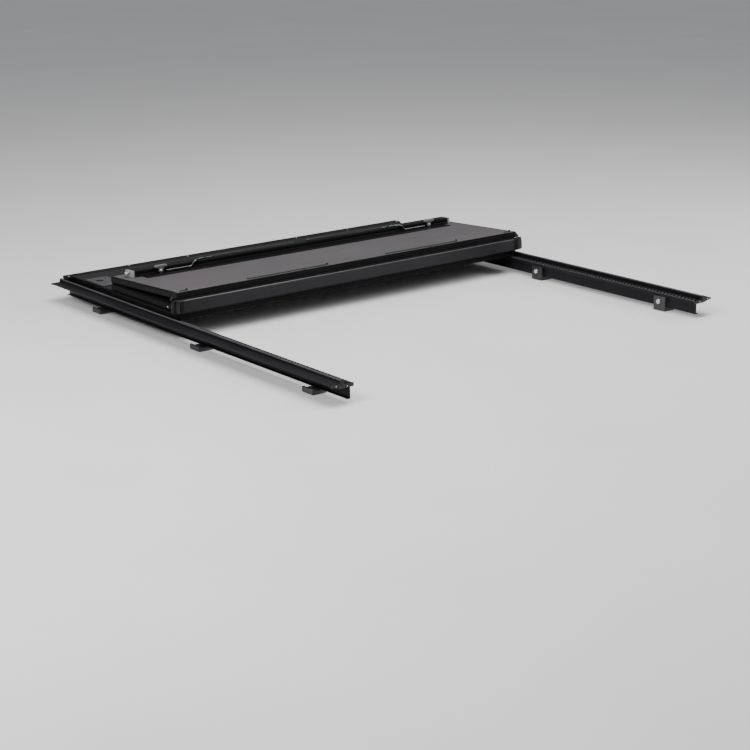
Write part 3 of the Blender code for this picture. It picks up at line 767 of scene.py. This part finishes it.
def build_corner_boots():
    """The rubber corner of panel 3: two lips that carry the spacer's end on up to the panel's underside."""
    steps = 14
    reach = 0.0192
    for word, side in SIDES:
        shapes = []
        for lip in range(2):
            outline = [(-0.003, -0.0010)]
            for s in range(steps + 1):
                part = s / steps
                outline.append((reach * (1 - part ** 1.6) + 0.0010, -0.0010 + (PANEL_T + 0.0008) * part))
            outline.append((-0.003, PANEL_T - 0.0002))
            width = 0.0050
            shape = soften(prism(outline, width), 0.0014, 3, 50)
            start = side * (HALF_WIDTH + 0.0010)
            y = HINGE_GAP + 0.0006 + width * (lip + 0.5)
            shapes.append(moved(shape, across_y(side, start, y, 0)))
        piece("panel_3_boot_" + word, join(*shapes), GLOSSY_RUBBER, "panel_3", AT_PANEL_3)


def build_edge_bead():
    """A rounded bead along the edge of panel 3's underside, over the spacer's face, in a light grey that
    paints its highlight line.
    """
    radius = 0.0016
    section = arc((0, 0), radius, 0, 360, 13)[:-1]
    shape = prism(section, 2 * (HALF_WIDTH - 0.0012))
    place = across_x(AT_PANEL_3 @ Matrix.Translation((0, HINGE_GAP + 0.0006, PANEL_T - 0.0002)))
    piece("panel_3_bead", shape, BEAD_PAINTED_HIGHLIGHT, "panel_3", place)


# ---------------- latch bar, levers, rods and bolts

def local_box(node, where):
    """The node's box in another frame."""
    inverse = where.inverted()
    points = [inverse @ Vector(v.co) for v in frame["nodes"][node].data.vertices]
    return [Vector([pick(p[i] for p in points) for i in range(3)]) for pick in (min, max)]


BAR_LOW, BAR_HIGH = local_box("latch_bar", AT_PANEL_3)
BAR_TOP = BAR_HIGH.z
BAR_BASE = BAR_LOW.z


def bar_section():
    wall = 0.0022
    depth = BAR_HIGH.y - BAR_LOW.y
    height = BAR_TOP - BAR_BASE
    roof = height - wall
    top = [(0, 0), (0, height * 0.30), (0.0008, height * 0.34), (0.0008, height * 0.46), (0, height * 0.50)]
    top += arc((0.003, height - 0.003), 0.003, 180, 90, 6)
    for centre in (0.008, depth - 0.010):
        top += [(centre - 0.0014, height), (centre - 0.0008, height - 0.0008)]
        top += [(centre + 0.0008, height - 0.0008), (centre + 0.0014, height)]
    top += arc((depth - 0.003, height - 0.003), 0.003, 90, 0, 6)
    top += [(depth, 0), (depth - wall, 0), (depth - wall, roof), (wall, roof), (wall, 0)]
    return [(y + BAR_LOW.y, z + BAR_BASE) for y, z in top]


def bar_rivet(name, place):
    piece(name, pan_head(0.0026, 0.0011), FRAME_X, "panel_3", place)


def build_latch_bar():
    bar = soften(prism(bar_section(), BAR_HIGH.x - BAR_LOW.x), 0.0002, 1, 40)
    piece("latch_bar_channel", bar, FRAME_X, "panel_3", across_x(AT_PANEL_3),
          ["latch_bar"])
    for word, side in SIDES:
        low, high = local_box("slide_bolt_" + word, AT_PANEL_3)
        tip = high.x if side > 0 else -low.x
        root = tip - (high.x - low.x)
        half = (high.y - low.y) / 2
        nose = 0.006
        lower = arc((tip - nose, nose - half), nose, -90, 0, 6)
        upper = arc((tip - nose, half - nose), nose, 0, 90, 6)
        outline = [(root, -half), *lower, *upper, (root, half)]
        shape = soften(prism(outline, high.z - low.z), 0.0008, 3, 40)
        centre = Matrix.Translation((0, (low.y + high.y) / 2, (low.z + high.z) / 2))
        centre = centre @ Matrix.Scale(side, 4, (1, 0, 0))
        piece("latch_bolt_" + word, shape, STEEL_X, "latch_" + word, AT_PANEL_3 @ centre,
              ["slide_bolt_" + word])
        for index, x in enumerate((0.66, 0.50, 0.34, 0.18, 0.06)):
            place = AT_PANEL_3 @ Matrix.Translation((side * x, BAR_HIGH.y - 0.0175, BAR_TOP - 0.0001))
            bar_rivet(f"bar_rivet_{word}_{index + 1}", place)
    build_base_plate()


def build_base_plate():
    """The thin plate in front of the latch bar, with a groove behind its front edge, and its rivets."""
    low, high = local_box("latch_base_plate", AT_PANEL_3)
    y0, y1, z0 = low.y, high.y, low.z
    height = high.z - low.z
    outline = [(y0, z0), (y0, z0 + height), (y0 + 0.0022, z0 + height), (y0 + 0.0030, z0 + height - 0.0006),
               (y0 + 0.0050, z0 + height - 0.0006), (y0 + 0.0058, z0 + height), (y1, z0 + height), (y1, z0)]
    shape = soften(prism(outline, high.x - low.x), 0.0003, 1, 40)
    piece("latch_base", shape, FRAME_X, "panel_3", across_x(AT_PANEL_3),
          ["latch_base_plate"])
    for word, side in SIDES:
        for index, x in enumerate((0.64, 0.535, 0.36, 0.21, 0.07)):
            place = AT_PANEL_3 @ Matrix.Translation((side * x, y0 + 0.0125, high.z - 0.0001))
            bar_rivet(f"base_rivet_{word}_{index + 1}", place)


def build_levers():
    """Thumb levers with a ribbed pad, a waisted stem, a round hub and the head of the pivot pin, in a mid
    grey that paints the black lever's highlights.
    """
    for word, side in SIDES:
        node = "thumb_lever_" + word
        body = "lever_" + word
        low, high = local_box(node, AT_PANEL_3)
        pivot = AT_PANEL_3.inverted() @ axis_of(word + "_lever")
        thick = high.y - low.y
        pad_half = (high.x - low.x) / 2
        reach = high.z - pivot.z
        pad_r = 0.0045
        outline = [
            *arc((0, 0), 0.0082, 160, 380, 24), (0.0100, 0.0066), (0.0150, 0.0092),
            *arc((pad_half - pad_r, reach - pad_r), pad_r, -90, 90, 10),
            *arc((-pad_half + pad_r, reach - pad_r), pad_r, 90, 270, 10),
            (-0.0150, 0.0092), (-0.0100, 0.0066),
        ]
        turn = across_y(side, *pivot)
        shape = soften(prism(outline, thick - 0.003), 0.0012, 3, 35)
        moved(shape, Matrix.Translation((0, 0, 0.0015)))
        ribs = []
        for x in range(-3, 4):
            rib = slab((0.0022, 0.0070, 0.0026), (x * 0.0056, reach - 0.0050, -thick / 2 + 0.0022))
            ribs.append(soften(rib, 0.0006, 2))
        piece(f"lever_{word}_body", join(shape, *ribs), LEVER_PAINTED_HIGHLIGHT, body,
              AT_PANEL_3 @ turn, [node])
        pin_place = Matrix.Translation((pivot.x, low.y + 0.0029, pivot.z))
        pin_place = pin_place @ Matrix.Rotation(math.pi / 2, 4, "X")
        pin = lathe([(0, -0.002), (0.0044, -0.002), (0.0044, 0.0010), (0.0036, 0.0018), (0.0014, 0.0019),
                     (0, 0.0012)])
        piece("lever_pin_" + word, pin, STEEL_TURNED, body, AT_PANEL_3 @ pin_place)


def build_rods():
    """The bent release rods, each with a clip near its bend and a long guide on the bar's top."""
    radius = 0.0025
    for word, side in SIDES:
        node = "release_rod_" + word
        low, high = local_box(node, AT_PANEL_3)
        outer = high.x if side > 0 else -low.x
        inner = low.x if side > 0 else -high.x
        near, far = low.y + radius, high.y - radius
        down, up = low.z + radius, high.z - radius
        route = [
            (outer, near, down), (0.540, near, down), (0.500, near, down), (0.477, near, down),
            (0.468, near, down + 0.0016), (0.461, near, (down + up) / 2), (0.453, near, up - 0.0020),
            (0.4475, near + 0.0022, up), (0.441, near + 0.0090, up), (0.435, far - 0.0024, up),
            (0.427, far, up), (0.413, far, up), (0.30, far, up), (0.16, far, up), (inner, far, up),
        ]
        path = smooth_route([(side * x, y, z) for x, y, z in route])
        piece("rod_" + word, rod(path, radius), ROD_STEEL, "latch_" + word, AT_PANEL_3,
              [node])
        foot = BAR_TOP - up + 0.0001
        tread = foot + 0.0014
        for name, x, length, wall in (("clip", 0.400, 0.010, 0.0015), ("guide", 0.2015, 0.335, 0.0017)):
            bore = radius + 0.0005
            outside = bore + wall
            outline = [
                *arc((0, 0), outside, 0, 180, 14), (-outside, tread), (-outside - 0.004, tread),
                (-outside - 0.004, foot), (-bore, foot), *arc((0, 0), bore, 180, 0, 14), (bore, foot),
                (outside + 0.004, foot), (outside + 0.004, tread), (outside, tread),
            ]
            shape = soften(prism(outline, length), 0.0004, 2, 40)
            place = across_x(AT_PANEL_3 @ Matrix.Translation((side * x, far, up)))
            piece(f"rod_{name}_{word}", shape, NYLON, "panel_3", place)


def build_edge_strips():
    """Raised strips along the near edge of panel 3's underside, each with an upright tab at its +X end."""
    low, high = local_box("edge_strip_right", AT_PANEL_3)
    height = high.z - low.z
    middle_y = (low.y + high.y) / 2
    width = high.y - low.y
    off_ledge = 0.0175
    runs = (
        ("outer_left", -HALF_WIDTH + off_ledge, -HALF_WIDTH + 0.044, ()),
        ("left", -high.x, -low.x, ["edge_strip_left"]),
        ("right", low.x, high.x, ["edge_strip_right"]),
        ("outer_right", HALF_WIDTH - 0.044, HALF_WIDTH - off_ledge, ()),
    )
    half = width / 2
    groove = height - 0.0006
    section = [(-half, 0), (-half, height * 0.7), (-half + 0.0008, height), (-0.0010, height),
               (-0.0006, groove), (0.0006, groove), (0.0010, height), (half - 0.0008, height),
               (half, height * 0.7), (half, 0)]
    for word, start, end, nodes in runs:
        shape = soften(prism(section, end - start), 0.0002, 1, 40)
        turn = across_x(Matrix.Translation(((start + end) / 2, middle_y, low.z)))
        shape = moved(shape, turn)
        centre = (end - 0.0024, middle_y, low.z + height / 2 + 0.002)
        tab = slab((0.0040, width * 0.8, height + 0.0045), centre)
        shape = join(shape, soften(tab, 0.0007, 2))
        piece("retainer_" + word, shape, NYLON, "panel_3", AT_PANEL_3, nodes)


# ---------------- tail seal, header, plates and clamps

def build_tail():
    low, high = lowest("tail_seal"), highest("tail_seal")
    depth, height = high.y - low.y, high.z - low.z
    outline = [
        (depth, 0), (depth, height), (depth * 0.55, height),
        *arc((depth * 0.5, height * 0.80), depth * 0.45, 80, 190, 8), (depth * 0.30, height * 0.55),
        *arc((depth * 0.48, height * 0.22), depth * 0.45, 150, 280, 10),
    ]
    place = across_x(Matrix.Translation((0, low.y, low.z)))
    shape = prism(outline, high.x - low.x)
    piece("tail_bulb", shape, RUBBER, "panel_3", place, ["tail_seal"])
    for word, side in SIDES:
        node = "tail_bolt_" + word
        low, high = lowest(node), highest(node)
        length, radius = high.x - low.x, (high.z - low.z) / 2
        profile = [(0, 0), (radius - 0.0006, 0), (radius, 0.0006), (radius, length - 0.0022),
                   (radius - 0.0008, length - 0.0006), (radius - 0.0020, length), (0, length)]
        piece("tail_pin_" + word, lathe(profile), STEEL_TURNED, "tail_latch_" + word,
              turned_out(node, side), [node])


def build_header():
    low, high = lowest("header_bar"), highest("header_bar")
    depth, height = high.y - low.y, high.z - low.z
    outline = [(0, 0), (0, height - 0.0020), (0.0020, height)]
    for centre in (0.010, 0.0185, 0.027):
        outline += [(centre - 0.0015, height), (centre - 0.0009, height - 0.0009)]
        outline += [(centre + 0.0009, height - 0.0009), (centre + 0.0015, height)]
    outline += [(depth - 0.0030, height), (depth, height - 0.0030), (depth, height * 0.62),
                (depth - 0.0010, height * 0.56), (depth - 0.0010, height * 0.40), (depth, height * 0.34),
                (depth, 0)]
    place = across_x(Matrix.Translation((0, low.y, low.z)))
    shape = soften(prism(outline, high.x - low.x), 0.0003, 2, 30)
    piece("header_extrusion", shape, FRAME_X, "rails", place, ["header_bar"])
    for word, side in SIDES:
        for index, x in enumerate((0.735, 0.490, 0.245)):
            y = low.y + (0.0185 if index else 0.014)
            where = Matrix.Translation((side * x, y, high.z - 0.0004))
            piece(f"header_screw_{word}_{index + 1}", pan_head(0.0036, 0.0016), STEEL_TURNED, "rails",
                  where)


def build_plates():
    """The screws at the corners of the two plates."""
    for word, _ in SIDES:
        node = "mounting_plate_" + word
        low, high = lowest(node), highest(node)
        for index, y in enumerate((low.y + 0.014, high.y - 0.014)):
            for column, x in (("a", low.x + 0.014), ("b", high.x - 0.014)):
                where = Matrix.Translation((x, y, high.z - 0.0001))
                piece(f"plate_screw_{word}_{column}{index + 1}", pan_head(0.0040, 0.0018), PLATE, "rails",
                      where)


def jaw_section(low, high):
    leg = low.x
    top = high.z - low.z
    return [
        (leg, 0.0015), (leg + 0.0015, 0), (high.x - 0.0030, 0), (high.x, 0.0030), (high.x, 0.0150),
        (high.x - 0.0020, 0.0180), (high.x - 0.0060, 0.0180), (high.x - 0.0080, 0.0165),
        (leg + 0.040, 0.0125), (leg + 0.0345, 0.0125), (leg + 0.0330, 0.0112), (leg + 0.0310, 0.0112),
        (leg + 0.0295, 0.0125),
        (leg + 0.0225, 0.0125), (leg + 0.0210, 0.0112), (leg + 0.0190, 0.0112), (leg + 0.0175, 0.0125),
        (DROP_U - 0.0005, 0.0125), (DROP_U - 0.0005, top), (leg + 0.0020, top), (leg, top - 0.0020),
    ]


def build_clamps():
    for word, side in SIDES:
        for number in (1, 2, 3):
            node = f"rail_clamp_{word}_{number}"
            low, high = lowest(node), highest(node)
            near = Vector((min(abs(low.x), abs(high.x)), low.y, low.z))
            far = Vector((max(abs(low.x), abs(high.x)), high.y, high.z))
            shape = soften(prism(jaw_section(near, far), high.y - low.y), 0.0007, 2, 30)
            turn = across_y(side, 0, (low.y + high.y) / 2, low.z)
            piece(f"clamp_jaw_{word}_{number}", shape, CAST, "rails", turn, [node])
            bolt = f"clamp_bolt_{word}_{number}"
            low, high = lowest(bolt), highest(bolt)
            head_r = (high.z - low.z) / 2
            reach = high.x - low.x
            profile = [(0, 0.0038), (0.0040, 0.0038), (0.0044, 0.0004), (0.0062, 0), (0.0074, 0.0004),
                       (head_r, 0.0014), (head_r, 0.0070), (0.0040, 0.0070), (0.0040, reach), (0, reach)]
            piece(f"clamp_screw_{word}_{number}", lathe(profile, 36), STEEL_TURNED, "rails",
                  turned_out(bolt, side), [bolt])


def repaint(look, *nodes):
    for node in nodes:
        for slot in frame["nodes"][node].material_slots:
            slot.material = look


for number, body, where, top_up in (
    (1, "rails", AT_WORLD, True),
    (2, "panel_2", AT_LIFT, True),
    (3, "panel_3", AT_PANEL_3, False),
    (4, "panel_3", AT_PANEL_4, True),
):
    y_low, y_high, low = build_panel(number, body, where, top_up)
    if number > 1:
        build_side_seals(number, body, where, y_low, y_high, low)

build_hinge_strips()
build_bumpers()
build_spacer()
build_corner_boots()
build_edge_bead()
build_latch_bar()
build_levers()
build_rods()
build_edge_strips()
build_tail()
build_header()
build_plates()
build_clamps()
repaint(FOAM, "header_seal")
repaint(PLATE, "mounting_plate_left", "mounting_plate_right")
repaint(GREY_NYLON, "latch_bar_end_left", "latch_bar_end_right")


# ---------------- floor, light and camera

def build_stage():
    n = Nodes("pale_floor")
    tone = n.mix(n.spread(n.noise(1.5, 3.0), 0.0, 1.0), (0.78, 0.78, 0.77), (0.82, 0.82, 0.81))
    n.finish(tone, n.spread(n.noise(4.0), 0.5, 0.6))
    shape = bmesh.new()
    bmesh.ops.create_grid(shape, x_segments=2, y_segments=2, size=40.0)
    mesh = bpy.data.meshes.new("floor")
    shape.to_mesh(mesh)
    shape.free()
    mesh.materials.append(n.material)
    floor = bpy.data.objects.new("floor", mesh)
    bpy.context.scene.collection.objects.link(floor)


def softbox(name, location, target, size, power):
    light = bpy.data.lights.new(name, "AREA")
    light.shape = "RECTANGLE"
    light.size, light.size_y = size
    light.energy = power
    obj = bpy.data.objects.new(name, light)
    obj.location = location
    obj.rotation_euler = (Vector(target) - Vector(location)).to_track_quat("-Z", "Y").to_euler()
    bpy.context.scene.collection.objects.link(obj)


def build_lights():
    world = bpy.data.worlds.new("studio")
    world.use_nodes = True
    background = world.node_tree.nodes["Background"]
    background.inputs["Color"].default_value = (0.95, 0.96, 1.0, 1.0)
    background.inputs["Strength"].default_value = 0.36
    bpy.context.scene.world = world
    softbox("key", (-3.4, -0.9, 2.4), (0, 0.1, 0), (1.8, 1.4), 120)
    softbox("overhead", (0.0, -0.6, 3.8), (0, 0.1, 0), (3.6, 2.6), 170)
    softbox("side", (3.2, -1.8, 1.8), (0, 0.2, 0.05), (1.6, 0.9), 45)


def build_camera():
    """The photograph's viewpoint, as a position, yaw, pitch and roll."""
    yaw, pitch, roll = (math.radians(v) for v in (38.4526, -16.5842, -0.4942))
    forward = Vector((math.sin(yaw) * math.cos(pitch), math.cos(yaw) * math.cos(pitch), math.sin(pitch)))
    level = Vector((math.cos(yaw), -math.sin(yaw), 0))
    upright = level.cross(forward)
    right = math.cos(roll) * level + math.sin(roll) * upright
    up = -math.sin(roll) * level + math.cos(roll) * upright
    turn = Matrix((right, up, -forward)).transposed().to_4x4()
    lens = bpy.data.cameras.new("camera")
    lens.sensor_width = 36.0
    lens.lens = 80.64
    camera = bpy.data.objects.new("camera", lens)
    camera.matrix_world = Matrix.Translation((-3.4444, -4.3420, 1.4124)) @ turn
    bpy.context.scene.collection.objects.link(camera)
    bpy.context.scene.camera = camera


build_stage()
build_lights()
build_camera()
